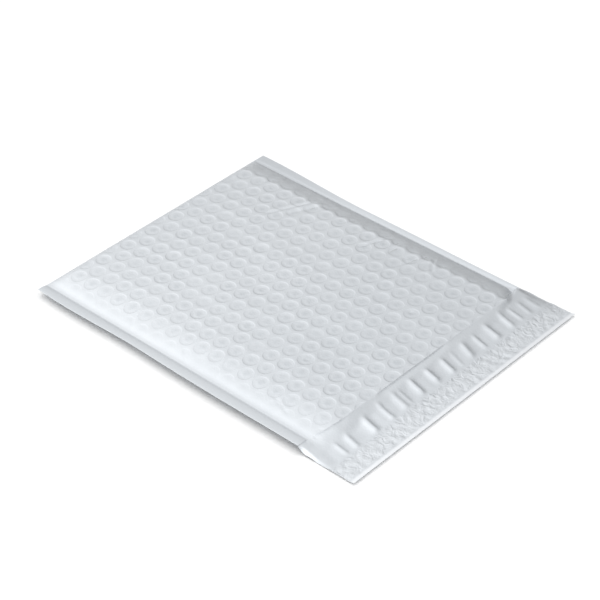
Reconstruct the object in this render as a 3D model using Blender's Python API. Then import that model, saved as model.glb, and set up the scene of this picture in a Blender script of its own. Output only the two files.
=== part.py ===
"""A padded mailing envelope of plastic film, lined with air bubbles, lying empty with its flap open.

The address side faces up. Its film runs on past the mouth as the flap, which slopes down to the table.
The mouth is on the underside, between the flap's film and the lip of the lower panel.
+X runs from the folded bottom edge to the flap, +Y to the far side seam, and z = 0 is the table.
"""
import math

import bmesh
import bpy
from mathutils import Vector
from mathutils.geometry import delaunay_2d_cdt

# Overall sizes, in metres
BODY_LENGTH = 0.2058          # bottom fold to the mouth, along a side seam
FLAP_LENGTH = 0.0372          # mouth to the flap's free edge, along a side
ENVELOPE_WIDTH = 0.184        # over both side seams
BODY_HEIGHT = 0.0090          # thickness of the padded field
MOUTH_BOW = 0.0063            # how far the middle of the mouth stands ahead of its ends

# Heat-sealed seams and the slopes beside them
SEAM_WIDTH = 0.0080
SEAM_THICKNESS = 0.0005
SEAM_LEVEL = 0.0036           # top of a seam above the table
NEAR_SHOULDER = 0.0050        # width of the steep slope along the -Y seam
FAR_SHOULDER = 0.0138         # width of the gentle slope along the +Y seam
FOLD_RUN = 0.0065             # length of the slope along the bottom fold

# Films and padding
FILM = 0.00015
BUBBLE_DIAMETER = 0.0104
BUBBLE_SPACING = 0.00084      # between the rims of neighbouring bubbles
BUBBLE_DISH = 0.00045         # how deep each bubble dishes the film
LAND_STRIP = 0.0016           # flat film between the last bubbles and the near shoulder
FIELD_MARGIN = 0.0005         # the first bubbles stand this far inside the field
MOUTH_CUT = 0.28              # share of a bubble's width that lies before the mouth, at least
LINING = 0.0015
LAMINATION_GAP = 0.00025
LINING_SETBACK = 0.0010       # the lining stops this far inside the mouth

# Closing strip under the flap
LINER_WIDTH = 0.0120
LINER = 0.00015
LINER_SIDE_MARGIN = 0.0010
ADHESIVE_WIDTH = 0.0090
ADHESIVE = 0.00020
STRIP_GAP = 0.00020
FLAP_BORDER = 0.0030          # bare film between the liner and the flap's free edge

# Puckers across the flap
PUCKERS = 12
PUCKER_HEIGHT = 0.0006
PUCKER_START = 0.0050         # from the middle of the mouth
PUCKER_LENGTH = 0.0106

# How fast the flap falls from the mouth, as a power of the distance left: 1 is a straight slope
FALL_IN_MIDDLE = 1.05
FALL_AT_SIDES = 4.0

# Mesh stations
SHOULDER_STATIONS = (0.0, 0.35, 0.70, 1.0)
NOSE_STATIONS = (0.0, 0.12, 0.40, 0.70, 1.0)
LINING_SHOULDER_STATIONS = (0.30, 0.60, 1.0)
LINING_NOSE_STATIONS = (0.25, 0.55, 1.0)
POCKET_NOSE_STATIONS = (0.55, 0.75, 1.0)
LONG_STATIONS = 18
ACROSS_STATIONS = 15
PUCKER_STATIONS = (0.0, 0.33, 0.67, 1.0)

# Derived places
FOLD_X = -(BODY_LENGTH + FLAP_LENGTH) / 2
FLAP_END_X = FOLD_X + BODY_LENGTH + FLAP_LENGTH
SEAM_END_X = FOLD_X + BODY_LENGTH
MOUTH_X = SEAM_END_X + MOUTH_BOW
NOSE_X = FOLD_X + FOLD_RUN
EDGE_Y = ENVELOPE_WIDTH / 2
SEAM_Y = EDGE_Y - SEAM_WIDTH
NEAR_FIELD_Y = -SEAM_Y + NEAR_SHOULDER
FAR_FIELD_Y = SEAM_Y - FAR_SHOULDER
SEAM_UNDERSIDE = SEAM_LEVEL - SEAM_THICKNESS
BUBBLE_PITCH = BUBBLE_DIAMETER + BUBBLE_SPACING
LINER_END_X = FLAP_END_X - FLAP_BORDER
LINER_START_X = LINER_END_X - LINER_WIDTH
STRIP_STACK = LINER + ADHESIVE + 2 * STRIP_GAP + FILM
LINING_DEPTH = FILM + BUBBLE_DISH + LAMINATION_GAP


def spaced(low, high, count):
    """count + 1 values from low to high."""
    return [low + (high - low) * i / count for i in range(count + 1)]


def quarter_wave(share):
    """0 below a share of 0 and 1 above a share of 1, steep at first and level at the end."""
    return math.sin(math.pi / 2 * min(1.0, max(0.0, share)))


def seam_rise(y):
    """0 on a side seam and 1 in the field. The wide far shoulder is nearly a straight ramp."""
    if y < 0:
        return quarter_wave((y + SEAM_Y) / NEAR_SHOULDER)
    share = (SEAM_Y - y) / FAR_SHOULDER
    return (quarter_wave(share) + min(1.0, max(0.0, share))) / 2


def fold_rise(x):
    """0 on the creased bottom fold and 1 in the field."""
    return quarter_wave((x - FOLD_X) / FOLD_RUN)


def mouth_x(y):
    """Where the mouth lies: the sealed seams draw its ends back."""
    return SEAM_END_X + MOUTH_BOW * seam_rise(y)


def top_height(x, y):
    """Upper face of the upper panel, without its bubbles."""
    return SEAM_LEVEL + (BODY_HEIGHT - SEAM_LEVEL) * fold_rise(x) * seam_rise(y)


def bottom_height(x, y):
    """Lower face of the lower panel, without its bubbles."""
    return SEAM_UNDERSIDE * (1 - fold_rise(x) * seam_rise(y))


def flap_height(x, y):
    """Upper face of the flap, without its puckers."""
    start = mouth_x(y)
    if x >= LINER_END_X:
        share = (x - LINER_END_X) / FLAP_BORDER
        return STRIP_STACK + (FILM - STRIP_STACK) * share
    left = 1 - max(0.0, (x - start) / (LINER_END_X - start))
    power = FALL_AT_SIDES + (FALL_IN_MIDDLE - FALL_AT_SIDES) * seam_rise(y)
    return STRIP_STACK + (top_height(start, y) - STRIP_STACK) * left**power


def along(x, y):
    """Moves a station of the field's grid to the drawn-in seam beside it."""
    if x <= NOSE_X:
        return x
    return NOSE_X + (x - NOSE_X) * (mouth_x(y) - NOSE_X) / (MOUTH_X - NOSE_X)


class Skin:
    """One face of the film: points in plan, lifted to a height, in a shared mesh."""

    def __init__(self, mesh, height):
        self.mesh = mesh
        self.height = height
        self.made = {}

    def point(self, x, y, lift=0.0):
        key = (round(x, 7), round(y, 7))
        if key not in self.made:
            self.made[key] = self.mesh.verts.new((x, y, self.height(x, y) + lift))
        return self.made[key]

    def grid(self, xs, ys, place=lambda x, y: x):
        """Pairs of triangles over a grid of stations."""
        for x, next_x in zip(xs, xs[1:]):
            for y, next_y in zip(ys, ys[1:]):
                a = self.point(place(x, y), y)
                b = self.point(place(next_x, y), y)
                c = self.point(place(next_x, next_y), next_y)
                d = self.point(place(x, next_y), next_y)
                self.mesh.faces.new((a, b, c))
                self.mesh.faces.new((a, c, d))


def wall(first, second, path):
    """Closes the gap between two skins along a path that both follow."""
    for (x, y), (next_x, next_y) in zip(path, path[1:]):
        a, b = first.point(x, y), first.point(next_x, next_y)
        c, d = second.point(next_x, next_y), second.point(x, y)
        first.mesh.faces.new((a, b, c))
        first.mesh.faces.new((a, c, d))


def bubble_centres():
    """Centres of the bubbles that lie whole in the field's width, row by row from the far side."""
    row_step = BUBBLE_PITCH * math.sqrt(3) / 2
    last_y = NEAR_FIELD_Y + LAND_STRIP + BUBBLE_DIAMETER / 2
    row, y = 0, FAR_FIELD_Y - FIELD_MARGIN - BUBBLE_DIAMETER / 2
    while y > last_y:
        x = NOSE_X + FIELD_MARGIN + BUBBLE_DIAMETER / 2 + (row % 2) * BUBBLE_PITCH / 2
        while x < MOUTH_X - MOUTH_CUT * BUBBLE_DIAMETER:
            yield x, y
            x += BUBBLE_PITCH
        row, y = row + 1, y - row_step


def rims(x, y):
    """Six points on a bubble's rim, flats towards its neighbours. The mouth cuts the last ones short."""
    for k in range(6):
        angle = math.pi / 6 + k * math.pi / 3
        rim_x = x + BUBBLE_DIAMETER / 2 * math.cos(angle)
        yield min(rim_x, MOUTH_X - 2 * FILM), y + BUBBLE_DIAMETER / 2 * math.sin(angle)


def lands(x, y):
    """The points halfway between three bubbles, where the film stays up."""
    margin = BUBBLE_PITCH / 8
    for k in range(6):
        angle = math.pi / 6 + k * math.pi / 3
        land_x = x + BUBBLE_PITCH / math.sqrt(3) * math.cos(angle)
        land_y = y + BUBBLE_PITCH / math.sqrt(3) * math.sin(angle)
        inside_x = NOSE_X + margin < land_x < MOUTH_X - margin
        if inside_x and NEAR_FIELD_Y + margin < land_y < FAR_FIELD_Y - margin:
            yield land_x, land_y


def add_field(skin, outline, between, dish):
    """Triangulates the bubbled field inside its outline of stations."""
    lifts = {(round(x, 6), round(y, 6)): (x, y, 0.0) for x, y in outline}
    for x, y in bubble_centres():
        for other_x, other_y in between(x, y):
            lifts.setdefault((round(other_x, 6), round(other_y, 6)), (other_x, other_y, 0.0))
        lifts[(round(x, 6), round(y, 6))] = (x, y, dish)
    points = list(lifts.values())
    plan = [Vector((x, y)) for x, y, lift in points]
    corners = delaunay_2d_cdt(plan, [], [], 0, 1e-7)
    for face in corners[2]:
        first = [points[corners[3][i][0]] for i in face]
        skin.mesh.faces.new([skin.point(*point) for point in first])


def field_outline(mouth_ys):
    """The stations round the field, shared with the nose, the shoulders and the mouth."""
    xs = spaced(NOSE_X, MOUTH_X, LONG_STATIONS)
    ys = spaced(NEAR_FIELD_Y, FAR_FIELD_Y, ACROSS_STATIONS)
    sides = [(x, y) for x in xs for y in (NEAR_FIELD_Y, FAR_FIELD_Y)]
    sides += [(x, NEAR_FIELD_Y + LAND_STRIP) for x in xs[1:-1]]
    return sides + [(NOSE_X, y) for y in ys] + [(MOUTH_X, y) for y in mouth_ys]


def side_lines(first_share):
    """Stations across the near and far shoulders, from the seam inwards."""
    shares = [s for s in SHOULDER_STATIONS if s >= first_share]
    near = [-SEAM_Y + NEAR_SHOULDER * s for s in shares]
    far = [SEAM_Y - FAR_SHOULDER * s for s in reversed(shares)]
    return near, far


def add_panel(skin, with_seams, nose_inset, between, dish):
    """One panel: its nose, its two shoulders, its seams and its bubbled field."""
    near, far = side_lines(0.0)
    if with_seams:
        near, far = [-EDGE_Y] + near, far + [EDGE_Y]
    across = spaced(NEAR_FIELD_Y, FAR_FIELD_Y, ACROSS_STATIONS)
    nose = [FOLD_X + nose_inset * (1 - s) + FOLD_RUN * s for s in NOSE_STATIONS]
    skin.grid(nose, near + across[1:-1] + far)
    long_xs = spaced(NOSE_X, MOUTH_X, LONG_STATIONS)
    skin.grid(long_xs, near, along)
    skin.grid(long_xs, far, along)
    add_field(skin, field_outline(mouth_stations()), between, dish)
    return near, across, far, nose, long_xs


def mouth_stations():
    """Stations across the field's end of the mouth: a crest and a valley for each pucker."""
    return spaced(NEAR_FIELD_Y, FAR_FIELD_Y, 2 * PUCKERS)


def pucker(x, y):
    """How far a pucker lifts or sinks the flap at a station: they fade out at both ends."""
    stations = mouth_stations()
    spacing = stations[1] - stations[0]
    if not NEAR_FIELD_Y < y < FAR_FIELD_Y:
        return 0.0
    side = 1 if round((y - NEAR_FIELD_Y) / spacing) % 2 else -1
    share = (x - mouth_x(y) - PUCKER_START) / PUCKER_LENGTH
    if not 0 < share < 1:
        return 0.0
    return side * PUCKER_HEIGHT * math.sin(math.pi * share)


def flap_stations():
    """Columns of the flap: 0 is the mouth, 1 the liner's outer edge and 2 the flap's free edge."""
    length = LINER_END_X - MOUTH_X
    puckered = [(PUCKER_START + PUCKER_LENGTH * share) / length for share in PUCKER_STATIONS]
    return [0.0, *puckered, (puckered[-1] + 1) / 2, 1.0, 2.0]


def flap_place(station, y):
    """Plan place of a flap column: the columns fan out from the bowed mouth to the straight edge."""
    if station > 1:
        return LINER_END_X + FLAP_BORDER * (station - 1)
    return mouth_x(y) + (LINER_END_X - mouth_x(y)) * station


def solid(name, mesh, colour, roughness):
    """Turns a closed mesh into a named object with its own material."""
    bmesh.ops.remove_doubles(mesh, verts=mesh.verts, dist=1e-7)
    bmesh.ops.triangulate(mesh, faces=mesh.faces)
    bmesh.ops.recalc_face_normals(mesh, faces=mesh.faces)
    data = bpy.data.meshes.new(name)
    mesh.to_mesh(data)
    mesh.free()
    data.shade_smooth()
    data.set_sharp_from_angle(angle=math.radians(50))
    material = bpy.data.materials.new(name)
    material.use_nodes = True
    shader = material.node_tree.nodes["Principled BSDF"]
    shader.inputs["Base Color"].default_value = (*colour, 1)
    shader.inputs["Roughness"].default_value = roughness
    shader.inputs["Metallic"].default_value = 0.0
    data.materials.append(material)
    piece = bpy.data.objects.new(name, data)
    bpy.context.scene.collection.objects.link(piece)
    return piece


def make_outer_film():
    """The film skin: both panels, the fold, the sealed seams and the flap, in one piece."""
    mesh = bmesh.new()

    def upper(x, y):
        if x > mouth_x(y) + 1e-7:
            return flap_height(x, y) + pucker(x, y)
        return top_height(x, y)

    top = Skin(mesh, upper)
    top_inside = Skin(mesh, lambda x, y: upper(x, y) - FILM)
    bottom = Skin(mesh, bottom_height)
    bottom_inside = Skin(mesh, lambda x, y: bottom_height(x, y) + FILM)
    near, across, far, nose, long_xs = add_panel(top, True, 0.0, rims, -BUBBLE_DISH)
    add_panel(bottom, True, 0.0, lands, BUBBLE_DISH)
    inner = add_panel(top_inside, False, 2 * FILM, lands, -BUBBLE_DISH)
    add_panel(bottom_inside, False, 2 * FILM, lands, BUBBLE_DISH)

    mouth_ys = near[:-1] + mouth_stations() + far[1:]
    columns = flap_stations()
    for skin in (top, top_inside):
        skin.grid(columns, mouth_ys, flap_place)

    # The seam edges and the fold's edge join the two panels from one end of the mouth to the other.
    across_fold = near + across[1:-1] + far
    side = [(along(x, EDGE_Y), EDGE_Y) for x in long_xs]
    nose_side = [(x, EDGE_Y) for x in nose]
    far_path = list(reversed(side)) + list(reversed(nose_side[:-1]))
    near_path = [(x, -y) for x, y in reversed(far_path)]
    fold_path = [(FOLD_X, y) for y in reversed(across_fold)]
    wall(top, bottom, far_path[1:] + fold_path[1:-1] + near_path[:-1])
    for path in (far_path[:2], list(reversed(near_path[-2:]))):
        (end_x, end_y), (next_x, next_y) = path
        ring = [top.point(next_x, next_y), top.point(end_x, end_y), top_inside.point(end_x, end_y)]
        ring += [bottom.point(end_x, end_y), bottom.point(next_x, next_y)]
        mesh.faces.new(ring)

    # The pocket inside the film closes along the inner edges of the seams and inside the fold.
    inner_near, inner_across, inner_far, inner_nose, inner_xs = inner
    pocket_side = [(x, SEAM_Y) for x in inner_nose[:-1]] + [(along(x, SEAM_Y), SEAM_Y) for x in inner_xs]
    pocket_fold = [(inner_nose[0], y) for y in reversed(inner_near + inner_across[1:-1] + inner_far)]
    pocket_near = [(x, -y) for x, y in pocket_side]
    wall(top_inside, bottom_inside, list(reversed(pocket_side)) + pocket_fold[1:-1] + pocket_near)

    # The lower lip, the ends of the two seams and the flap's edges.
    lip = [(mouth_x(y), y) for y in mouth_ys]
    wall(bottom, bottom_inside, lip[1:-1])
    for outer_y, inner_y in ((EDGE_Y, SEAM_Y), (-EDGE_Y, -SEAM_Y)):
        outer_end, inner_end = (mouth_x(outer_y), outer_y), (mouth_x(inner_y), inner_y)
        ring = [top_inside.point(*inner_end), top_inside.point(*outer_end), bottom.point(*outer_end)]
        ring += [bottom.point(*inner_end), bottom_inside.point(*inner_end)]
        mesh.faces.new(ring)
    flap_side = [(flap_place(column, EDGE_Y), EDGE_Y) for column in columns]
    flap_edge = [(FLAP_END_X, y) for y in reversed(mouth_ys)]
    near_side = [(x, -y) for x, y in reversed(flap_side)]
    wall(top, top_inside, flap_side + flap_edge[1:-1] + near_side)
    return solid("outer_film", mesh, (0.72, 0.75, 0.78), 0.35)


def lining_row(y):
    """The lining's section at one place across the envelope: a U, outer face first, then inner face."""
    def stations(nose_shares):
        nose = [FOLD_X + FOLD_RUN * s for s in nose_shares]
        return nose + spaced(NOSE_X, mouth_x(y) - LINING_SETBACK, LONG_STATIONS // 2)[1:]

    def wall_here(x):
        return LINING * fold_rise(x) * seam_rise(y)

    outer, inner = stations(LINING_NOSE_STATIONS), stations(POCKET_NOSE_STATIONS)
    row = [(x, y, top_height(x, y) - LINING_DEPTH) for x in reversed(outer)]
    row += [(x, y, bottom_height(x, y) + LINING_DEPTH) for x in outer]
    row += [(x, y, bottom_height(x, y) + LINING_DEPTH + wall_here(x)) for x in reversed(inner)]
    row += [(x, y, top_height(x, y) - LINING_DEPTH - wall_here(x)) for x in inner]
    return row


def swept(name, rows, colour, roughness):
    """A closed solid through a list of like sections, capped at both ends."""
    mesh = bmesh.new()
    rings = [[mesh.verts.new(point) for point in row] for row in rows]
    count = len(rings[0])
    for ring, following in zip(rings, rings[1:]):
        for i in range(count):
            after = (i + 1) % count
            mesh.faces.new((ring[i], ring[after], following[after], following[i]))
    mesh.faces.new(rings[0])
    mesh.faces.new(rings[-1])
    return solid(name, mesh, colour, roughness)


def make_bubble_lining():
    """The bubble padding, laminated to the film and folded with it at the bottom edge."""
    near = [-SEAM_Y + NEAR_SHOULDER * s for s in LINING_SHOULDER_STATIONS]
    far = [SEAM_Y - FAR_SHOULDER * s for s in reversed(LINING_SHOULDER_STATIONS)]
    return swept("bubble_lining", [lining_row(y) for y in near + far], (0.80, 0.83, 0.86), 0.30)


def strip_under_flap(name, start_x, end_x, depth, thickness, colour, roughness):
    """A thin strip that hangs a fixed depth under the flap's upper face, straight across it."""
    edge = EDGE_Y - LINER_SIDE_MARGIN
    ys = [-edge] + [y for y in side_lines(0.0)[0]] + mouth_stations()[1:-1]
    ys += [y for y in side_lines(0.0)[1]] + [edge]
    rows = []
    for y in ys:
        section = [(x, y, flap_height(x, y) - depth) for x in spaced(start_x, end_x, 3)]
        section += [(x, y, z - thickness) for x, y, z in reversed(section)]
        rows.append(section)
    return swept(name, rows, colour, roughness)


def make_adhesive_strip():
    """The band of hot-melt adhesive on the flap's inner face."""
    start = LINER_START_X + (LINER_WIDTH - ADHESIVE_WIDTH) / 2
    depth = FILM + STRIP_GAP
    end = start + ADHESIVE_WIDTH
    return strip_under_flap("adhesive_strip", start, end, depth, ADHESIVE, (0.86, 0.85, 0.78), 0.25)


def make_release_liner():
    """The peel-off strip that covers the adhesive."""
    depth = FILM + 2 * STRIP_GAP + ADHESIVE
    return strip_under_flap("release_liner", LINER_START_X, LINER_END_X, depth, LINER, (0.88, 0.89, 0.90), 0.40)


for old in list(bpy.data.objects):
    bpy.data.objects.remove(old)

envelope = bpy.data.objects.new("padded_envelope", None)
bpy.context.scene.collection.objects.link(envelope)
for part in (make_outer_film(), make_bubble_lining(), make_adhesive_strip(), make_release_liner()):
    part.parent = envelope
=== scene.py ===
import math

import bmesh
import bpy
import numpy as np
from mathutils import Matrix, Vector


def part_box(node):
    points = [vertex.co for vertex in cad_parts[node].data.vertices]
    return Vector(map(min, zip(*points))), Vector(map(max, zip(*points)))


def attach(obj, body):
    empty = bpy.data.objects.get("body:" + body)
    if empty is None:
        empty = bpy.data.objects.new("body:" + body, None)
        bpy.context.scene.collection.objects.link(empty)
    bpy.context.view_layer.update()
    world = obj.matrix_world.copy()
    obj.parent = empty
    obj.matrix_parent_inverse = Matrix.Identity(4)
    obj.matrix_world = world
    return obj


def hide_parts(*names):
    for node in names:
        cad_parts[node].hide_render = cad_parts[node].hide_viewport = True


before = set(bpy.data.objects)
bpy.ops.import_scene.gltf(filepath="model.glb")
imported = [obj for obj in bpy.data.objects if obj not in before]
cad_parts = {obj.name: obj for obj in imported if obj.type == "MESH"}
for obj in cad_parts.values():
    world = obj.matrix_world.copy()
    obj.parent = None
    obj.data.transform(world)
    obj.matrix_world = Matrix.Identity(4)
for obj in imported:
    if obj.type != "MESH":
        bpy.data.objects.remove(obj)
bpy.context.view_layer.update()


# OUTER FILM
# One sheet of pearl-white polyethylene film. It makes the upper panel, goes round the bottom fold, makes the
# lower panel and is heat-sealed along both sides; past the mouth it runs on as the flap. The air bubbles
# laminated behind it draw it into shallow dishes. All the sizes here are in millimetres.

MM = 0.001
film_low, film_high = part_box("outer_film")
FOLD_X, FLAP_END_X = film_low.x / MM, film_high.x / MM
EDGE_Y = film_high.y / MM
# The padded field lies a little under the frame's top, which leaves room for its swells
TOP_Z = film_high.z / MM - 0.1
# The side welds' inner lines, and how far in from the far one and from the bottom fold the film rises
NEAR_WELD_Y, FAR_WELD_Y = -86.4, 85.0
FAR_SHOULDER, FOLD_RUN = 15.0, 7.5
NOSE_X = FOLD_X + FOLD_RUN
# The film's thickness, and half that of the two welded films, which the heat has thinned
FILM, SEAM_HALF = 0.15, 0.13
# The seams' ends, and how far the mouth bows out between them
SEAM_END_X, MOUTH_BOW = 84.3, 6.3
MOUTH_X = SEAM_END_X + MOUTH_BOW
# The release liner's place under the flap, and the film's height over the table there
LINER_MARGIN, LINER_WIDTH, STRIP_STACK = 3.0, 12.0, 0.95
LINER_END_X = FLAP_END_X - LINER_MARGIN
LINER_START_X = LINER_END_X - LINER_WIDTH
# The bubbles lie in rows, each row half a pitch along from the last
PITCH = 11.24
ROW_STEP = PITCH * math.sqrt(3) / 2
FIRST_BUBBLE = (-109.3, 64.5)
BUBBLE_RADIUS = 4.75


def smooth(low, high, value):
    """0 before low and 1 past high, with an even turn between. It falls where low is the larger."""
    share = np.clip((value - low) / (high - low), 0, 1)
    return share * share * (3 - 2 * share)


def hill(middle, width, value):
    """A rounded hill of height 1."""
    return np.exp(-(((value - middle) / width) ** 2))


# How the near side rolls over: distance in from the weld, and how steep the film is there
NEAR_ROLL = (
    (0, 0.0), (1.3, 0.12), (2.6, 0.36), (3.8, 0.47), (5.2, 0.38), (6.6, 0.27), (8, 0.22), (12, 0.21),
    (14, 0.18), (15.6, 0.10), (18, 0.06), (26, 0.03), (34, 0.0),
)
ROLL_STEPS = 400


def near_roll(distance):
    """Share of its full height that the film has at a distance in from the near weld."""
    along = np.linspace(0, NEAR_ROLL[-1][0], ROLL_STEPS)
    height = np.cumsum(np.interp(along, *zip(*NEAR_ROLL)))
    return np.interp(distance, along, height / height[-1])


def swelling(share, roundness):
    """A rise from 0 to 1: straight where roundness is 0, and a quarter of a wave where it is 1."""
    share = np.clip(share, 0, 1)
    return (1 - roundness) * share + roundness * np.sin(math.pi / 2 * share)


FAR_ROUNDNESS, FOLD_ROUNDNESS = 0.3, 0.6


def seam_rise(y):
    """0 on a side seam, 1 in the padded field."""
    far = swelling((FAR_WELD_Y - y) / FAR_SHOULDER, FAR_ROUNDNESS)
    return np.where(y < 0, near_roll(y - NEAR_WELD_Y), far)


def fold_rise(x):
    """0 on the creased bottom fold, 1 in the padded field."""
    return swelling((x - FOLD_X) / FOLD_RUN, FOLD_ROUNDNESS)


# Each seam's height over the table by the mouth, and what it gains on the way to the bottom fold
NEAR_SEAM_Z, NEAR_SEAM_GAIN = 4.25, -0.5
FAR_SEAM_Z, FAR_SEAM_GAIN = 2.9, 0.7
# The near seam's edge curls up and then over, and the far one's only up, over its width, by the mouth
NEAR_CURL_UP, NEAR_CURL_OVER = 0.32, 0.036
FAR_CURL, FAR_SEAM_WIDTH = 0.9, 7


def seam_height(x, y):
    """Middle height of a side seam, and between the two seams a height that passes from one to the other."""
    lift = smooth(-25, -121, x)
    past = np.maximum(NEAR_WELD_Y - y, 0)
    near = NEAR_SEAM_Z + NEAR_SEAM_GAIN * lift + NEAR_CURL_UP * past - NEAR_CURL_OVER * past**2
    far = FAR_SEAM_Z + FAR_SEAM_GAIN * lift
    far = far + (FAR_CURL - lift) * np.clip((y - FAR_WELD_Y) / FAR_SEAM_WIDTH, 0, 1)
    return near + (far - near) * smooth(-84, 84, y)


def mouth_x(y):
    """Where the mouth lies: the sealed seams draw its ends back."""
    return SEAM_END_X + MOUTH_BOW * seam_rise(y)


# Six chance numbers for each bubble: its stray along and across, its width, depth, dent and show
CHANCE_ROWS, CHANCE_PLACES, FIRST_CHANCE_ROW = 48, 80, 12
BUBBLE_CHANCE = np.random.default_rng(11).normal(0, 1, (CHANCE_ROWS, CHANCE_PLACES, 6))
BUBBLE_STRAY, WIDTH_VARIES, DEPTH_VARIES, DENT_VARIES, SHOW_VARIES = 0.13, 0.018, 0.16, 0.05, 0.22


def nearest_bubble(x, y):
    """Distance from the nearest bubble's centre as a share of its radius, and its chance numbers."""
    u, v = (x - FIRST_BUBBLE[0]) / PITCH, (FIRST_BUBBLE[1] - y) / ROW_STEP
    shares, chances = [], []
    for odd in (0, 1):
        row = 2 * np.round((v - odd) / 2) + odd
        place = np.round(u - odd / 2) + odd / 2
        chance_row = (row.astype(int) + FIRST_CHANCE_ROW) % CHANCE_ROWS
        luck = BUBBLE_CHANCE[chance_row, np.round(2 * place).astype(int) % CHANCE_PLACES]
        away_x = (u - place) * PITCH + BUBBLE_STRAY * luck[..., 0]
        away_y = (v - row) * ROW_STEP + BUBBLE_STRAY * luck[..., 1]
        shares.append(np.hypot(away_x, away_y) / (BUBBLE_RADIUS * (1 + WIDTH_VARIES * luck[..., 2])))
        chances.append(luck)
    nearer = shares[0] < shares[1]
    return np.where(nearer, *shares), np.where(nearer[..., None], *chances)


def ripple(x, y, seed, count, wavelengths, height):
    """Gentle unevenness of a soft film: a few crossed waves with chance directions and phases."""
    luck = np.random.default_rng(seed)
    total = 0 * x
    for _ in range(count):
        turn, wave, phase = luck.uniform(0, math.pi), luck.uniform(*wavelengths), luck.uniform(0, 2 * math.pi)
        total = total + np.sin(2 * math.pi * (x * math.cos(turn) + y * math.sin(turn)) / wave + phase)
    return height * total / math.sqrt(count)


# A bubble's dish: its depth, and its wall, edge and dent as shares of the bubble's radius
DISH_DEPTH, DISH_WALL, DISH_EDGE, DENT_WIDTH = 0.31, (0.62, 1.16), 1.1, 0.45
# Unevenness of the film in the dishes: seed, number of waves, their least and greatest length, and height
DISH_RIPPLE = (12, 7, (3.2, 7), 0.022)


def bubble_relief(x, y):
    """The film over one bubble: a wall down into a shallow dish, and a slight dent or dome in its middle."""
    share, luck = nearest_bubble(x, y)
    depth = 1 + DEPTH_VARIES * luck[..., 3]
    wall = -DISH_DEPTH * depth * (1 - smooth(*DISH_WALL, share))
    dent = DENT_VARIES * luck[..., 4] * hill(0, DENT_WIDTH, share)
    return wall + dent + (share < DISH_EDGE) * ripple(x, y, *DISH_RIPPLE)


# What is left of the dishes in the row by the far seam and in the column by the fold, where they are crushed
CRUSHED_ROW, CRUSHED_COLUMN = 0.30, 0.15


def bubble_strength(x, y):
    """How far the bubbles show through: full in the field, crushed on the shoulders, none past the mouth."""
    near = smooth(-85, -72, y)
    far = CRUSHED_ROW + (1 - CRUSHED_ROW) * smooth(73.5, 69.5, y)
    far = far * smooth(82, 77, y)
    fold = CRUSHED_COLUMN + (1 - CRUSHED_COLUMN) * smooth(-116.0, -113.0, x)
    return near * far * fold * smooth(mouth_x(y) + 0.1, mouth_x(y) - 0.9, x) * fold_rise(x) ** 2


def plan(u, v):
    """A place given in bubble pitches from the first bubble, as plan millimetres."""
    return FIRST_BUBBLE[0] + u * PITCH, FIRST_BUBBLE[1] - v * PITCH


# The low ridges on a crease's two sides, as shares of its depth and its width
RIDGE_HEIGHT, RIDGE_WIDTH = 0.45, 2.6


def crease(x, y, start, end, width, depth):
    """A fold line pressed into the film: a valley with a low ridge on each side, fading at both ends."""
    (ax, ay), (bx, by) = plan(*start), plan(*end)
    length = math.hypot(bx - ax, by - ay)
    along = ((x - ax) * (bx - ax) + (y - ay) * (by - ay)) / length**2
    off = ((x - ax) * (by - ay) - (y - ay) * (bx - ax)) / length
    fade = smooth(-0.08, 0.2, along) * smooth(1.08, 0.75, along)
    return -depth * fade * (hill(0, width, off) - RIDGE_HEIGHT * hill(0, RIDGE_WIDTH * width, off))


# Each crease's two ends in bubble pitches, its half width and its depth
CREASES = (
    ((4.9, -0.95), (3.3, 2.2), 1.1, 0.95),
    ((5.3, -0.75), (4.3, 1.3), 1.6, 0.50),
    ((10.0, -0.95), (9.2, 1.0), 1.1, 0.95),
    ((10.9, -0.85), (10.7, 0.6), 1.3, 0.60),
    ((12.8, -0.90), (13.6, 0.3), 1.0, 0.85),
    ((12.4, -0.80), (11.9, 0.9), 1.2, 0.55),
    ((7.4, -0.90), (7.1, 0.1), 1.0, 0.45),
    ((15.6, -0.95), (15.5, -0.3), 0.9, 0.35),
    ((1.6, -0.95), (1.3, -0.1), 1.0, 0.45),
    ((4.5, 12.3), (4.9, 13.2), 0.9, 0.40),
    ((10.6, 11.7), (10.8, 13.1), 1.0, 0.45),
    ((14.1, 12.4), (15.6, 12.9), 0.9, 0.40),
    ((8.3, 12.6), (8.9, 13.3), 0.9, 0.35),
    ((2.0, 12.6), (2.6, 13.3), 0.9, 0.35),
)

# Small nicks in single bubbles: place in bubble pitches, half width, depth
NICKS = (
    ((14.9, 3.4), 1.3, 0.45), ((13.5, 9.5), 1.1, 0.40), ((5.5, 4.3), 3.2, 0.20), ((11.6, 0.2), 3.0, 0.25),
)


SEAM_NOSE = 0.3


def seam_half(x):
    """Half the thickness of the two welded films, rounded off at the fold."""
    return SEAM_HALF * np.sqrt(1 - (1 - np.clip((x - FOLD_X) / SEAM_NOSE, 0, 1)) ** 2)


# Unevenness of the padded field and of its shoulders, given as for the dishes
FIELD_SWELL = (5, 7, (38, 90), 0.13)
SHOULDER_WAVES, SHOULDER_CRUMPLE = (8, 9, (7, 18), 0.10), (9, 9, (3, 6), 0.02)
# Between the last row's bubbles the far slope begins sooner: place, half width and depth of the scallops
SCALLOP_Y, SCALLOP_WIDTH, SCALLOP_DEPTH = 71, 4.5, 1.5
# Depth of the lines that the sealing bar pressed, and how much the far one deepens towards the bottom fold
FAR_LINE, FAR_LINE_DEEPENS, NEAR_LINE = 0.14, 0.26, 0.12


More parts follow.
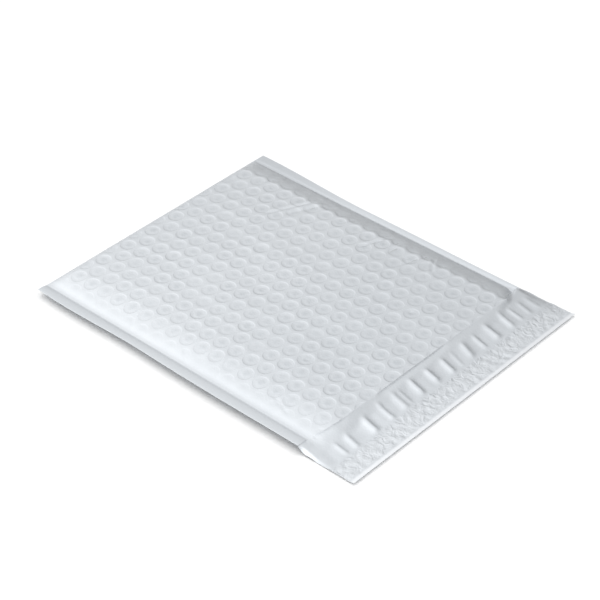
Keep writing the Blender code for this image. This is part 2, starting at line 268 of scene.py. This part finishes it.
def upper_body(x, y):
    """Height of the upper panel's outer face."""
    between = 0.5 - 0.5 * np.cos(2 * math.pi * (x - FIRST_BUBBLE[0]) / PITCH)
    scallop = SCALLOP_DEPTH * between * hill(SCALLOP_Y, SCALLOP_WIDTH, y)
    rise = fold_rise(x) * seam_rise(y + scallop)
    z = seam_height(x, y) + seam_half(x)
    z = z + (TOP_Z - z) * rise
    z = z + bubble_strength(x, y) * bubble_relief(x, y)
    soft = smooth(0.0, 0.6, rise)
    z = z + soft * ripple(x, y, *FIELD_SWELL)
    for line in CREASES:
        z = z + soft * crease(x, y, *line)
    for place, width, depth in NICKS:
        away = np.hypot(x - plan(*place)[0], y - plan(*place)[1])
        z = z - depth * hill(0, width, away)
    shoulders = smooth(86, 81, y) * smooth(66, 72, y) + 0.5 * smooth(-70, -76, y) * smooth(-86, -82, y)
    z = z + shoulders * fold_rise(x) * (ripple(x, y, *SHOULDER_WAVES) + ripple(x, y, *SHOULDER_CRUMPLE))
    pressed = (FAR_LINE + FAR_LINE_DEEPENS * smooth(-30, -115, x)) * hill(FAR_WELD_Y + 0.5, 0.7, y)
    pressed = pressed + NEAR_LINE * hill(NEAR_WELD_Y - 0.4, 0.6, y)
    return z - pressed * smooth(FOLD_X, FOLD_X + 3, x)


# Ridges gathered across the flap by the strip below it: place across, half width and height
PUCKERS = (
    (82.0, 2.0, 0.35), (74.5, 2.4, 0.65), (66.5, 1.7, 0.70), (58.3, 2.4, 1.05), (45.2, 3.0, 1.25),
    (34.2, 1.9, 0.95), (23.6, 3.3, 1.20), (14.5, 1.6, 0.40), (6.6, 2.4, 1.30), (-5.6, 2.2, 1.30),
    (-18.2, 2.4, 1.25), (-27.9, 1.3, 0.55), (-32.4, 2.9, 0.85), (-43.4, 2.3, 1.00), (-56.2, 2.6, 1.20),
    (-71.0, 2.3, 0.95), (-79.0, 1.6, 0.75),
)
# What every pucker shares: a shift across, scales of width and height, how its flanks fall, and its slant
PUCKER_SHIFT, PUCKER_WIDTH, PUCKER_HEIGHT = 0.9, 0.8, 1.45
PUCKER_STEEPNESS, PUCKER_SHARPNESS = 1.15, 1.45
PUCKER_SLANT, PUCKER_MIDDLE_X = 0.14, 101
# The film between the puckers, how deep it is drawn down, and its crinkles over the strip
GATHERS, GATHERED_DEPTH = (23, 11, (4.5, 11), 0.13), 0.5
STRIP_CRINKLES, STRIP_WRINKLES = (21, 14, (3.6, 10), 0.15), (22, 14, (1.9, 3.2), 0.045)
# The flap's height past the mouth, beside the near seam and inside the far one
FLAP_NEAR_Z, FLAP_FAR_Z = 4.2, 6.3
# How far in from the welds the flap's arch reaches its top, and how soon it falls to the strip
ARCH_REACH, NEAR_FALL, FAR_FALL, MIDDLE_FALL = 62, 3.2, 1.3, 2.1
# The ridge along the liner's inner edge, and how far the free edge lifts again
LINER_RIDGE, FREE_EDGE_LIFT = 0.14, 0.95


def flap(x, y):
    """Height of the flap's outer face."""
    start = mouth_x(y)
    left = 1 - np.clip((x - start) / (LINER_END_X - start), 0, 1)
    side = seam_height(x, y) + SEAM_HALF
    body_z = side + (TOP_Z - side) * seam_rise(y)
    # With no lining behind it the film soon spreads from the body's profile to a broad low arch.
    level = np.where(y < 0, FLAP_NEAR_Z, side + (FLAP_FAR_Z - side) * smooth(91.0, 84.5, y))
    inward = smooth(0, ARCH_REACH, np.minimum(FAR_WELD_Y - y, y - NEAR_WELD_Y))
    mouth_z = level + (TOP_Z - level) * inward
    mouth_z = body_z + (mouth_z - body_z) * smooth(0, 7 - 4.6 * smooth(58, 70, y), x - start)
    fall = np.where(y < 0, NEAR_FALL, FAR_FALL)
    z = STRIP_STACK + (mouth_z - STRIP_STACK) * left ** (fall + (MIDDLE_FALL - fall) * inward)
    # Past the seams the edges drop to the table first, so that a small facet faces down each side.
    corner = smooth(-90.6, -92.0, y) * smooth(84.3, 88.8, x)
    corner = corner + smooth(84.5 + 3.5 * smooth(91, 99, x), 91.6, y) * smooth(84.2, 90.0, x)
    z = z - corner * np.maximum(z - STRIP_STACK, 0)
    luck = np.random.default_rng(3).uniform(-1, 1, (len(PUCKERS), 3))
    for (where, width, height), (early, late, slant) in zip(PUCKERS, luck):
        run = smooth(92.8 + early, 97.2 + early, x) * smooth(106.6 + 0.5 * late, 103.2 + late, x)
        away = np.abs(y - where - PUCKER_SHIFT - PUCKER_SLANT * slant * (x - PUCKER_MIDDLE_X))
        flank = np.exp(-PUCKER_STEEPNESS * (away / (PUCKER_WIDTH * width)) ** PUCKER_SHARPNESS)
        z = z + PUCKER_HEIGHT * run * height * flank
    gathered = smooth(93.2, 97.5, x) * smooth(106.6, 103.2, x)
    z = z + gathered * (ripple(0.25 * x, y, *GATHERS) - GATHERED_DEPTH)
    strip = smooth(LINER_START_X - 0.3, LINER_START_X + 1.5, x)
    strip = strip * smooth(LINER_END_X + 0.9, LINER_END_X - 0.3, x)
    z = z + strip * (ripple(x, y, *STRIP_CRINKLES) + ripple(x, y, *STRIP_WRINKLES))
    return z + LINER_RIDGE * hill(107.2, 0.55, x) + FREE_EDGE_LIFT * smooth(116.5, 123.0, x) ** 1.5


# Depth of the step down past the lining's end: all along, more in the middle and nearer, and on the seam
STEP, MIDDLE_STEP, NEAR_STEP, SEAM_STEP = 0.12, 0.60, 0.50, 0.45
# How far the lower panel's film lies over the table, and the upper film's inner face at the least
TABLE_CLEARANCE, LEAST_CLEARANCE = 0.02, 0.05


def upper_face(x, y):
    """Height of the whole upper side: the body, the step at the mouth, and the flap past it."""
    beyond = x - mouth_x(y)
    v = (FIRST_BUBBLE[1] - y) / PITCH
    step = STEP + MIDDLE_STEP * smooth(4.0, 4.8, v) * smooth(9.4, 8.8, v) + NEAR_STEP * smooth(11.2, 11.8, v)
    step = step * smooth(-84, -82, y) * smooth(72, 66, y) + SEAM_STEP * smooth(-86, -88, y)
    tuck = smooth(70, 76, y) * smooth(89, 86, y)
    z = np.where(beyond > 0, flap(x, y), upper_body(x, y))
    z = z - step * smooth(-0.12, 0.12, beyond) * smooth(3.5, 0.5, beyond)
    z = z - tuck * smooth(-5.5, -0.2, beyond) * smooth(0.12, -0.12, beyond)
    return np.maximum(z, FILM + LEAST_CLEARANCE)


def lower_face(x, y):
    """Height of the lower panel's outer face, which rests on the table between its bubbles."""
    rise = fold_rise(x) * seam_rise(y)
    z = (seam_height(x, y) - seam_half(x)) * (1 - rise) + TABLE_CLEARANCE
    return np.maximum(z - bubble_strength(x, y) * bubble_relief(x, y), 0.0)


def stations(*stops):
    """Values from stop to stop: each stop is a value and the spacing that leads to it."""
    values = [stops[0]]
    for stop, spacing in stops[1:]:
        count = max(1, round(abs(stop - values[-1]) / spacing))
        values += list(values[-1] + (stop - values[-1]) * np.arange(1, count + 1) / count)
    return np.array(values)


def wrap(below, nose, above):
    """Columns from the lower lip along the underside, round the fold and over the top: plan x and side."""
    x = np.concatenate([below[:-1], nose[::-1], nose[1:], above[1:]])
    side = np.concatenate([-np.ones(len(below) + len(nose) - 2), [0], np.ones(len(above) + len(nose) - 2)])
    return np.stack([x, side], 1)


# How far back from the mouth the columns begin to follow its bow
BOW_REACH = 60


def draw_in(x, y):
    """Plan place of a column: beside the mouth the columns follow its bow, and the flap's end is straight."""
    pull = smooth(MOUTH_X - BOW_REACH, MOUTH_X, x)
    pull = pull * np.clip((LINER_END_X - x) / (LINER_END_X - MOUTH_X), 0, 1)
    return x - MOUTH_BOW * (1 - seam_rise(y)) * pull


# How far the far edge draws in from the fold to the middle and on to the mouth, and how far it stands out at
# the fold. The near edge stands out all along, and by less past the mouth. The flap's end stands out too.
FAR_DRAW, FAR_DRAW_ON, FAR_OUT = 4.0, 0.7, 1.2
NEAR_OUT, NEAR_OUT_PAST_MOUTH, FLAP_END_OUT = 1.6, 0.9, 1.2


def film_plan(x, y):
    """Plan place of a point on the film. The cut edges aren't quite straight, and the far one narrows."""
    x = draw_in(x, y)
    far = FAR_DRAW * smooth(-119, -30, x) + FAR_DRAW_ON * smooth(-20, 75, x) - FAR_OUT
    far = far * smooth(90, 84.2, x) * smooth(FAR_WELD_Y, EDGE_Y, y)
    near = NEAR_OUT + 0.12 * np.sin(x / 17) - 0.8 * hill(-50, 28, x) - 0.5 * smooth(-100, -121, x)
    near = near + (NEAR_OUT_PAST_MOUTH - near) * smooth(84, 90, x)
    near = near * smooth(NEAR_WELD_Y, -EDGE_Y, y)
    return x + FLAP_END_OUT * smooth(110, FLAP_END_X, x), y - far - near


def film_outside(x, y, side):
    """A point on the film's outer face."""
    plan_x, plan_y = film_plan(x, y)
    z = np.where(side > 0, upper_face(draw_in(x, y), y), lower_face(draw_in(x, y), y))
    return plan_x, plan_y, np.where(side == 0, seam_height(x, y), z)


# How much deeper the film's inner face lies behind the lining, which hides it
HIDDEN_DEPTH = 0.45


def film_inside(x, y, side):
    """A point on the film's inner face, clear of the outer face's dishes."""
    plan_x, plan_y, z = film_outside(x, y, side)
    welded = (y < NEAR_WELD_Y) | (y > FAR_WELD_Y)
    depth = np.where(welded & (x < MOUTH_X), SEAM_HALF - 0.005, FILM)
    depth = depth + HIDDEN_DEPTH * smooth(MOUTH_X - 1, MOUTH_X - 6, x) * seam_rise(y) * (side != 0)
    inset = depth * (1 - np.clip((x - FOLD_X) / FOLD_RUN, 0, 1))
    return plan_x + inset, plan_y, z - side * depth * np.maximum(fold_rise(x), 0.3)


def sheet_grid(name, columns, rows, place):
    """A grid of film. Its columns and rows are set to their stations, and place gives each point."""
    bpy.ops.object.select_all(action="DESELECT")
    bpy.ops.mesh.primitive_grid_add(x_subdivisions=len(columns) - 1, y_subdivisions=len(rows) - 1)
    grid = bpy.context.object
    grid.name = name
    column, row = (each.ravel() for each in np.meshgrid(np.arange(len(columns)), rows))
    x, side = columns[column].T
    grid.data.vertices.foreach_set("co", (np.stack(place(x, row, side), 1) * MM).ravel())
    grid.data.update()
    return grid


SMOOTH_ANGLE = math.radians(60)


def two_faced(name, columns, rows, kept_columns, kept_rows, fine_face, coarse_face):
    """A closed sheet: a fine face, and a coarse one that keeps only some of its columns and rows."""
    sheet = sheet_grid(name, columns, rows, fine_face)
    sheet_grid(name + "_back", columns[kept_columns], rows[kept_rows], coarse_face)
    sheet.select_set(True)
    bpy.context.view_layer.objects.active = sheet
    bpy.ops.object.join()
    mesh = bmesh.new()
    mesh.from_mesh(sheet.data)
    mesh.verts.ensure_lookup_table()
    wide, deep, few_wide, few_deep = len(columns), len(rows), len(kept_columns), len(kept_rows)
    # Each edge of the coarse face is joined to the run of fine edges beside it.
    for k, (low, high) in enumerate(zip(kept_columns, kept_columns[1:])):
        for row, few_row in ((0, 0), (deep - 1, few_deep - 1)):
            run = [mesh.verts[row * wide + column] for column in range(low, high + 1)]
            first = wide * deep + few_row * few_wide + k
            mesh.faces.new(run + [mesh.verts[first + 1], mesh.verts[first]])
    for k, (low, high) in enumerate(zip(kept_rows, kept_rows[1:])):
        for column, few_column in ((0, 0), (wide - 1, few_wide - 1)):
            run = [mesh.verts[row * wide + column] for row in range(low, high + 1)]
            first = wide * deep + k * few_wide + few_column
            mesh.faces.new(run + [mesh.verts[first + few_wide], mesh.verts[first]])
    bmesh.ops.recalc_face_normals(mesh, faces=mesh.faces)
    mesh.to_mesh(sheet.data)
    mesh.free()
    bpy.ops.object.shade_smooth_by_angle(angle=SMOOTH_ANGLE)
    return sheet


def kept(values, steps):
    """Places of the values that the coarse face keeps: the first, the last, and each one a step on."""
    places = [0]
    for k in range(1, len(values)):
        if k - places[-1] >= steps[k] or k == len(values) - 1:
            places.append(k)
    return places


film_rows = stations(
    -EDGE_Y, (2.4 - EDGE_Y, 0.4), (NEAR_WELD_Y - 1.5, 0.9), (NEAR_WELD_Y, 0.5), (NEAR_WELD_Y + 5.0, 0.5),
    (FAR_WELD_Y - FAR_SHOULDER, ROW_STEP / 11), (FAR_WELD_Y, 0.9), (FAR_WELD_Y + 1.5, 0.5),
    (EDGE_Y - 1.0, 1.4), (EDGE_Y, 0.5),
)
film_columns = wrap(
    stations(MOUTH_X, (NOSE_X, PITCH / 5.5)),
    stations(FOLD_X, (FOLD_X + 0.6, 0.15), (NOSE_X, 0.9)),
    stations(
        NOSE_X, (MOUTH_X - 3, PITCH / 12.8), (MOUTH_X - 0.15, 0.6), (MOUTH_X + 0.15, 0.15),
        (MOUTH_X + 3, 0.6), (LINER_END_X, 0.66), (FLAP_END_X, 0.6),
    ),
)
# The inner face shows under the flap only, so it is coarser behind the lining.
film_steps = np.where(film_columns[:, 0] > MOUTH_X - 3, 2, 8)
film = two_faced(
    "outer_film_sheet", film_columns, film_rows, kept(film_columns, film_steps),
    kept(film_rows, [2] * len(film_rows)), film_outside, film_inside,
)

# The bubbles' fine rings, the crinkles over the strip and the film's tone follow the surface, as attributes.
points = np.zeros(len(film.data.vertices) * 3)
film.data.vertices.foreach_get("co", points)
point_x, point_y = points.reshape(-1, 3)[:, :2].T / MM
share, luck = nearest_bubble(point_x, point_y)
backed = smooth(mouth_x(point_y) + 0.3, mouth_x(point_y) - 0.3, point_x)
backed = backed * smooth(NEAR_WELD_Y - 0.3, NEAR_WELD_Y + 0.3, point_y)
backed = backed * smooth(FAR_WELD_Y + 0.3, FAR_WELD_Y - 0.3, point_y)
strip_starts = smooth(LINER_START_X - 0.3, LINER_START_X + 1.1, point_x)
strip_ends = smooth(LINER_END_X + 0.9, LINER_END_X - 0.3, point_x)
# How much greyer the film is with no lining behind it, and on the lining towards the mouth
UNBACKED_GREY, MOUTH_GREY = 0.10, 0.09
unbacked = UNBACKED_GREY * (1 - backed) * smooth(112, 106, point_x)
surface_facts = {
    "bubble_place": share,
    "bubble_show": bubble_strength(point_x, point_y) * (1 + SHOW_VARIES * luck[..., 5]),
    "over_strip": strip_starts * strip_ends,
    # Mask of the bare border past the strip, whose whiter tone is partly painted light from the table under
    # it
    "bare_border_painted_light": smooth(LINER_END_X + 0.9, LINER_END_X + 2.5, point_x),
    "greyer": unbacked + MOUTH_GREY * smooth(-60, 60, point_x) * backed,
}
for name, values in surface_facts.items():
    attribute = film.data.attributes.new(name, "FLOAT", "POINT")
    attribute.data.foreach_set("value", values.astype(np.float32))


def linear(colour):
    """Turns an sRGB hex colour to the linear numbers that a shader takes."""
    channels = [int(colour[i:i + 2], 16) / 255 for i in (0, 2, 4)]
    return [c / 12.92 if c <= 0.04045 else ((c + 0.055) / 1.055) ** 2.4 for c in channels] + [1.0]


def add_node(material, kind, settings=None, links=None):
    """Adds a node, sets its properties and inputs, and links other nodes' outputs to its inputs."""
    node = material.node_tree.nodes.new(kind)
    for name, value in (settings or {}).items():
        if isinstance(name, str) and hasattr(node, name):
            setattr(node, name, value)
        else:
            node.inputs[name].default_value = value
    for name, source in (links or {}).items():
        material.node_tree.links.new(source, node.inputs[name])
    return node


def new_material(name, colour, roughness, ior):
    """A material with a Principled shader, and that shader."""
    material = bpy.data.materials.new(name)
    material.use_nodes = True
    shader = material.node_tree.nodes["Principled BSDF"]
    shader.inputs["Base Color"].default_value = linear(colour)
    shader.inputs["Roughness"].default_value = roughness
    shader.inputs["IOR"].default_value = ior
    return material, shader


# Blown polyethylene film, pearl white outside: a satin skin with soft highlights. It is a little greyer where
# no lining lies behind it and in the bubbles' middles. Along the bare border past the strip it is painted
# whiter, partly as painted light from the white table under the thin film there. The ring of each bubble is
# pressed in crisply.
pearl, shader = new_material("pearl_polyethylene_film", "DEE2E6", roughness=0.46, ior=1.51)
shader.inputs["Specular IOR Level"].default_value = 0.35
place, show, over_strip, painted_border_light, greyer = (
    add_node(pearl, "ShaderNodeAttribute", {"attribute_name": name}).outputs["Fac"] for name in surface_facts
)
spot = add_node(pearl, "ShaderNodeTexCoord").outputs["Object"]
# A Map Range node's inputs 1 to 4 say which two values turn to which two: here shares of a bubble's radius
# turn to millimetres of relief, and further down to shares of the darker tone.
step = {"interpolation_type": "SMOOTHSTEP"}
add, multiply, scale_and_add = ({"operation": name} for name in ("ADD", "MULTIPLY", "MULTIPLY_ADD"))
wall = add_node(pearl, "ShaderNodeMapRange", step | {1: 0.90, 2: 1.03, 3: 0.0, 4: 0.085}, {0: place})
lip = add_node(pearl, "ShaderNodeMapRange", step | {1: 1.03, 2: 1.16, 3: 0.0, 4: -0.03}, {0: place})
ring = add_node(pearl, "ShaderNodeMath", add, {0: wall.outputs[0], 1: lip.outputs[0]})
wrinkles = {"Scale": 420.0, "Detail": 2.0, "Roughness": 0.5}
crumple = add_node(pearl, "ShaderNodeTexNoise", wrinkles, {"Vector": spot})
middle = add_node(pearl, "ShaderNodeMapRange", step | {1: 0.25, 2: 0.85, 3: 0.16, 4: 0.03}, {0: place})
crumple = add_node(pearl, "ShaderNodeMath", multiply, {0: crumple.outputs[0], 1: middle.outputs[0]})
dish = add_node(pearl, "ShaderNodeMath", add, {0: ring.outputs[0], 1: crumple.outputs[0]})
dish = add_node(pearl, "ShaderNodeMath", multiply, {0: dish.outputs[0], 1: show})
# Sharp folds over the strip, 4 mm apart and finer, and a grain of 1 mm all over. A Scale is 1000 over the mm.
sharp = {"noise_type": "RIDGED_MULTIFRACTAL", "Scale": 240.0, "Detail": 2.0, "Distortion": 0.7}
folds = add_node(pearl, "ShaderNodeTexNoise", sharp | {"Offset": 1.0, "Gain": 2.0}, {"Vector": spot})
crinkle = add_node(pearl, "ShaderNodeMath", multiply, {0: folds.outputs[0], 1: over_strip})
crinkle = add_node(
    pearl, "ShaderNodeMath", scale_and_add | {1: 0.20}, {0: crinkle.outputs[0], 2: dish.outputs[0]}
)
fine = {"Scale": 800.0, "Detail": 3.0, "Roughness": 0.6}
grain = add_node(pearl, "ShaderNodeTexNoise", fine, {"Vector": spot})
height = add_node(
    pearl, "ShaderNodeMath", scale_and_add | {1: 0.10}, {0: grain.outputs[0], 2: crinkle.outputs[0]}
)
bump = add_node(pearl, "ShaderNodeBump", {"Strength": 1.0, "Distance": MM}, {"Height": height.outputs[0]})
pearl.node_tree.links.new(bump.outputs[0], shader.inputs["Normal"])
# Tone: each bubble is a little greyer inside, most of all in its middle, and the bare border is painted
# whiter, partly as painted light from the white table under it.
blot = add_node(pearl, "ShaderNodeMapRange", step | {1: 0.0, 2: 0.62, 3: 0.120, 4: 0.0}, {0: place})
inside = add_node(pearl, "ShaderNodeMapRange", step | {1: 0.80, 2: 1.05, 3: 0.010, 4: 0.0}, {0: place})
grey = add_node(pearl, "ShaderNodeMath", add, {0: blot.outputs[0], 1: inside.outputs[0]})
grey = add_node(pearl, "ShaderNodeMath", multiply, {0: grey.outputs[0], 1: show})
cloud = add_node(pearl, "ShaderNodeTexNoise", {"Scale": 28.0, "Detail": 2.0}, {"Vector": spot})
grey = add_node(
    pearl, "ShaderNodeMath", scale_and_add | {1: 0.05}, {0: cloud.outputs[0], 2: grey.outputs[0]}
)
grey = add_node(pearl, "ShaderNodeMath", add, {0: grey.outputs[0], 1: greyer})
# A Mix node's inputs 6 and 7 are its two colours.
mix = {"data_type": "RGBA"}
tones = mix | {6: linear("DFE3E7"), 7: linear("8C959D")}
tone = add_node(pearl, "ShaderNodeMix", tones, {0: grey.outputs[0]})
# This mix paints the bare border whiter, partly as painted light from the white table under the thin film.
tone = add_node(pearl, "ShaderNodeMix", mix | {7: linear("F6F9FC")}, {0: painted_border_light, 6: tone.outputs[2]})
pearl.node_tree.links.new(tone.outputs[2], shader.inputs["Base Color"])
film.data.materials.clear()
film.data.materials.append(pearl)

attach(film, "root")
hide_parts("outer_film")


# BUBBLE LINING
# Two-layer air-bubble film of clear polyethylene, laminated to the outer film by its flat side, so that its
# domes face into the pocket. It is folded with the film at the bottom and stops just inside the mouth.

LINING_NEAR_Y, LINING_FAR_Y = -82.2, 79.9
LINING_END_X = MOUTH_X - 1.0
LINING_FOLD_X = FOLD_X + 1.8
# Depth of the lining's flat side under the film's outer face, thickness of its web, and height of its domes
LINING_DEPTH, WEB, DOME_HEIGHT = 0.72, 0.30, 1.7
# How blunt a dome's top is and how steep its flank, and how much its height varies
DOME_BLUNTNESS, DOME_STEEPNESS, DOME_VARIES = 3.0, 0.6, 0.05
# Half the least gap between the lining's two halves
HALF_GAP = 0.05


def lining_point(x, y, side, depth):
    """A point at a depth under the film, on the upper or the lower half of the lining."""
    rise = fold_rise(x) * seam_rise(y)
    seam = seam_height(x, y)
    top = seam + (TOP_Z - seam) * rise - depth
    bottom = seam * (1 - rise) + depth
    middle = (top + bottom) / 2
    z = np.where(side < 0, np.minimum(bottom, middle - HALF_GAP), middle)
    z = np.where(side > 0, np.maximum(top, middle + HALF_GAP), z)
    return draw_in(x, y) + depth * (side == 0), y, z


def lining_back(x, y, side):
    """The lining's flat side, against the film."""
    return lining_point(x, y, side, LINING_DEPTH)


def lining_domes(x, y, side):
    """The lining's inner side with its air bubbles, which are squashed along the seams and the fold."""
    share, luck = nearest_bubble(draw_in(x, y), y)
    dome = (1 - np.clip(share, 0, 1) ** DOME_BLUNTNESS) ** DOME_STEEPNESS
    dome = dome * (1 + DOME_VARIES * luck[..., 3])
    free = smooth(LINING_NEAR_Y, LINING_NEAR_Y + 7, y) * smooth(LINING_FAR_Y, LINING_FAR_Y - 9, y)
    free = free * smooth(NOSE_X - 3, NOSE_X + 2, x) * smooth(LINING_END_X + 0.2, LINING_END_X - 1.2, x)
    return lining_point(x, y, side, LINING_DEPTH + WEB + DOME_HEIGHT * dome * free)


lining_rows = stations(LINING_NEAR_Y, (LINING_FAR_Y, ROW_STEP / 7))
lining_columns = wrap(
    stations(LINING_END_X, (NOSE_X, PITCH / 8)), stations(LINING_FOLD_X, (NOSE_X, 1.2)),
    stations(NOSE_X, (LINING_END_X, PITCH / 8)),
)
lining = two_faced(
    "bubble_lining_sheet", lining_columns, lining_rows,
    kept(lining_columns, [6] * len(lining_columns)), kept(lining_rows, [4] * len(lining_rows)),
    lining_domes, lining_back,
)


def raise_and_shade(material, shader, pattern, strength, height, tones):
    """Lets one pattern raise the surface, by a height in millimetres, and shade it between two tones."""
    relief = {"Strength": strength, "Distance": height * MM}
    bump = add_node(material, "ShaderNodeBump", relief, {"Height": pattern})
    material.node_tree.links.new(bump.outputs[0], shader.inputs["Normal"])
    colours = mix | {6: linear(tones[0]), 7: linear(tones[1])}
    shade = add_node(material, "ShaderNodeMix", colours, {0: pattern})
    material.node_tree.links.new(shade.outputs[2], shader.inputs["Base Color"])


# Clear blown polyethylene in two thin layers: glossy and a little cloudy, with fine creases.
clear, shader = new_material("clear_bubble_polyethylene", "E9EEF1", roughness=0.22, ior=1.51)
shader.inputs["Transmission Weight"].default_value = 0.25
spot = add_node(clear, "ShaderNodeTexCoord").outputs["Object"]
fine = {"Scale": 600.0, "Detail": 3.0, "Distortion": 0.8}
creases = add_node(clear, "ShaderNodeTexNoise", fine, {"Vector": spot})
raise_and_shade(clear, shader, creases.outputs[0],strength=0.5, height=0.1, tones=("E3E9ED", "F2F5F7"))
lining.data.materials.clear()
lining.data.materials.append(clear)

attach(lining, "root")
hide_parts("bubble_lining")


# ADHESIVE STRIP AND RELEASE LINER
# A 9 mm band of hot-melt adhesive, laid on the flap's inner face in one pass of a slot nozzle, and the 12 mm
# strip of siliconed film that covers it until the envelope is closed. Both follow the flap's crinkles.

# How far the liner stands out past the adhesive, and how far both stop short of the flap's sides
LINER_OVERLAP, BAND_MARGIN = 1.5, 1.0
# Depths under the flap's outer face, with a small gap above each band
BAND_GAP = 0.03
ADHESIVE_THICKNESS, LINER_THICKNESS = 0.20, 0.12
ADHESIVE_DEPTH = FILM + BAND_GAP
LINER_DEPTH = ADHESIVE_DEPTH + ADHESIVE_THICKNESS + BAND_GAP


def band(name, start_x, end_x, depth, thickness):
    """A strip under the flap, that deep below its outer face and that thick."""
    columns = stations(start_x, (end_x, 0.8))
    columns = np.stack([columns, np.ones(len(columns))], 1)
    rows = stations(BAND_MARGIN - EDGE_Y, (EDGE_Y - BAND_MARGIN, 1.2))
    strip = sheet_grid(name, columns, rows, lambda x, y, side: (x, y, upper_face(x, y) - depth))
    solidify = strip.modifiers.new("thickness", "SOLIDIFY")
    solidify.thickness = thickness * MM
    solidify.offset = -1
    bpy.ops.object.modifier_apply(modifier=solidify.name)
    bpy.ops.object.shade_smooth_by_angle(angle=SMOOTH_ANGLE)
    return strip


adhesive_start, adhesive_end = LINER_START_X + LINER_OVERLAP, LINER_END_X - LINER_OVERLAP
adhesive = band("adhesive_band", adhesive_start, adhesive_end, ADHESIVE_DEPTH, ADHESIVE_THICKNESS)
# Hot-melt rubber adhesive: cream, wet-looking, with faint lines along the way that it was laid.
hot_melt, shader = new_material("hot_melt_adhesive", "E6DFC4", roughness=0.18, ior=1.49)
spot = add_node(hot_melt, "ShaderNodeTexCoord").outputs["Object"]
along = add_node(hot_melt, "ShaderNodeMapping", {"Scale": (1500.0, 60.0, 1.0)}, {"Vector": spot})
lines = add_node(hot_melt, "ShaderNodeTexNoise", {"Scale": 1.0, "Detail": 2.0}, {"Vector": along.outputs[0]})
raise_and_shade(hot_melt, shader, lines.outputs[0], strength=0.6, height=0.05, tones=("DDD4B4", "ECE6D0"))
adhesive.data.materials.clear()
adhesive.data.materials.append(hot_melt)

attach(adhesive, "root")
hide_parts("adhesive_strip")

liner = band("release_liner_band", LINER_START_X, LINER_END_X, LINER_DEPTH, LINER_THICKNESS)
# Siliconed polyethylene film: white, slick, with long soft waves from lying on the roll.
siliconed, shader = new_material("siliconed_release_film", "F0F2F4", roughness=0.28, ior=1.45)
spot = add_node(siliconed, "ShaderNodeTexCoord").outputs["Object"]
waves = add_node(siliconed, "ShaderNodeTexNoise", {"Scale": 160.0, "Detail": 2.0}, {"Vector": spot})
raise_and_shade(siliconed, shader, waves.outputs[0], strength=0.5, height=0.2, tones=("E8EBEE", "F6F8F9"))
liner.data.materials.clear()
liner.data.materials.append(siliconed)

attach(liner, "root")
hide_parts("release_liner")


# TABLE, LIGHT AND CAMERA
# A plain white table under soft studio light. The softbox stands on the side that the near seam faces, and a
# broad light right above lights the table alone, so that the shadow lies close round the envelope.

# In metres: the table's width, and how far it lies below the envelope, so that the two never flicker
TABLE_WIDTH, TABLE_DROP = 6, 0.0002
bpy.ops.object.select_all(action="DESELECT")
bpy.ops.mesh.primitive_plane_add(size=TABLE_WIDTH, location=(0, 0, -TABLE_DROP))
table = bpy.context.object
table.name = "table_top"
table_white, shader = new_material("white_table", "F4F4F4", roughness=0.9, ior=1.45)
shader.inputs["Emission Color"].default_value = (1, 1, 1, 1)
seen = add_node(table_white, "ShaderNodeLightPath").outputs["Is Camera Ray"]
glow = add_node(table_white, "ShaderNodeMath", multiply | {1: 0.02}, {0: seen})
table_white.node_tree.links.new(glow.outputs[0], shader.inputs["Emission Strength"])
table.data.materials.append(table_white)

studio = bpy.data.worlds.new("studio")
bpy.context.scene.world = studio
studio.use_nodes = True
studio.node_tree.nodes["Background"].inputs["Color"].default_value = (1, 1, 1, 1)
studio.node_tree.nodes["Background"].inputs["Strength"].default_value = 0.36


def lamp_at(kind, name, place, power, lit):
    """A lamp that faces the envelope and lights only the given objects."""
    bpy.ops.object.light_add(type=kind, location=place)
    lamp = bpy.context.object
    lamp.name = name
    lamp.data.energy = power
    lamp.rotation_euler = Vector(place).to_track_quat("Z", "Y").to_euler()
    receivers = bpy.data.collections.new(name + "_lights")
    for piece in lit:
        receivers.objects.link(piece)
    lamp.light_linking.receiver_collection = receivers
    return lamp


envelope = [film, lining, adhesive, liner]
side_softbox = lamp_at("AREA", "side_softbox", place=(0.03, -0.91, 0.78), power=14.5, lit=envelope)
side_softbox.data.shape = "SQUARE"
side_softbox.data.size = 0.7
overhead = lamp_at("SUN", "overhead_light", place=(0.0, 0.0, 1.0), power=2.6, lit=[table])
overhead.data.angle = math.radians(90)

# The camera stands where the photo's bubbles and corners put it.
azimuth, elevation, roll = (math.radians(angle) for angle in (44.62, 37.23, -2.34))
LOOKED_AT, CAMERA_DISTANCE = Vector((-0.0044, 0.0023, 0)), 1.118
level = math.cos(elevation)
back = Vector((math.sin(azimuth) * level, -math.cos(azimuth) * level, math.sin(elevation)))
right = Vector((math.cos(azimuth), math.sin(azimuth), 0))
up = back.cross(right)
rolled_right = right * math.cos(roll) + up * math.sin(roll)
rolled_up = up * math.cos(roll) - right * math.sin(roll)
bpy.ops.object.camera_add(location=LOOKED_AT + back * CAMERA_DISTANCE)
camera = bpy.context.object
camera.rotation_euler = Matrix((rolled_right, rolled_up, back)).transposed().to_euler()
camera.data.lens = 117.66
camera.data.sensor_width = 36
camera.data.clip_start = 0.01
bpy.context.scene.camera = camera
bpy.context.scene.view_settings.view_transform = "Standard"
